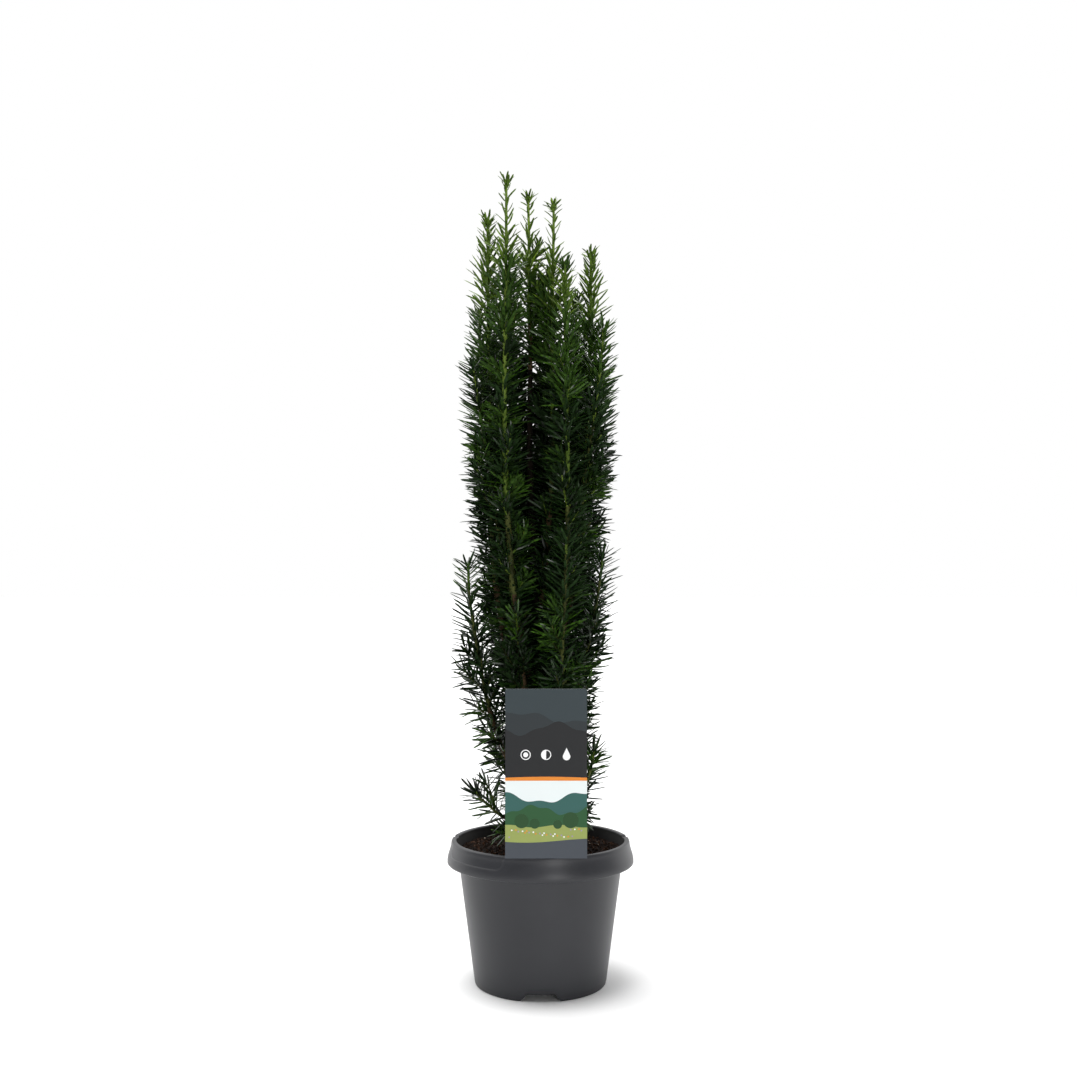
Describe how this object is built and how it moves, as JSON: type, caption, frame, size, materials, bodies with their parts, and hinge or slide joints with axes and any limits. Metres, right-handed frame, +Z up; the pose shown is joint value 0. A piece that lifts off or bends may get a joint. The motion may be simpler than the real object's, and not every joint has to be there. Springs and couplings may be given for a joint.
{
  "type": "potted english yew",
  "caption": "Young columnar yew: upright shoots covered in needles rise from a short trunk in a round tapered nursery pot with an overhanging rim and a flat card label.",
  "frame": {"origin": "on the floor, at the pot's axis, the middle of its foot", "axes": "+Z up, towards the tips of the shoots; -Y towards the label, the front; +X to the right seen from the front"},
  "size_m": [0.1806, 0.1806, 0.781],
  "materials": {
    "pot": "dark grey injection-moulded polypropylene, matt",
    "soil": "moist dark brown peat compost with wood fibre",
    "label": "printed thin plastic card, satin",
    "bark": "reddish brown thin bark, rough",
    "needles": "glossy dark green yew needles on green shoots"
  },
  "bodies": {
    "root": {"bough_back_far": "bark", "bough_back_left": "bark", "bough_back_low": "bark", "bough_back_middle": "bark", "bough_back_right": "bark", "bough_centre_tall": "bark", "bough_foot_back_left": "bark", "bough_foot_back_right": "bark", "bough_foot_front": "bark", "bough_foot_left": "bark", "bough_foot_right": "bark", "bough_front_low": "bark", "bough_front_right": "bark", "bough_front_tall": "bark", "bough_left_low": "bark", "bough_left_low_back": "bark", "bough_left_middle": "bark", "bough_left_tall": "bark", "bough_left_upper": "bark", "bough_right_back": "bark", "bough_right_low": "bark", "bough_right_low_back": "bark", "bough_right_tall": "bark", "bough_right_upper": "bark", "foliage_back_far": "needles", "foliage_back_left": "needles", "foliage_back_low": "needles", "foliage_back_middle": "needles", "foliage_back_right": "needles", "foliage_centre_tall": "needles", "foliage_foot_back_left": "needles", "foliage_foot_back_right": "needles", "foliage_foot_front": "needles", "foliage_foot_left": "needles", "foliage_foot_right": "needles", "foliage_front_low": "needles", "foliage_front_right": "needles", "foliage_front_tall": "needles", "foliage_left_low": "needles", "foliage_left_low_back": "needles", "foliage_left_middle": "needles", "foliage_left_tall": "needles", "foliage_left_upper": "needles", "foliage_right_back": "needles", "foliage_right_low": "needles", "foliage_right_low_back": "needles", "foliage_right_tall": "needles", "foliage_right_upper": "needles", "foliage_top": "needles", "label": "label", "pot": "pot", "soil": "soil", "trunk": "bark"}
  },
  "joints": []
}
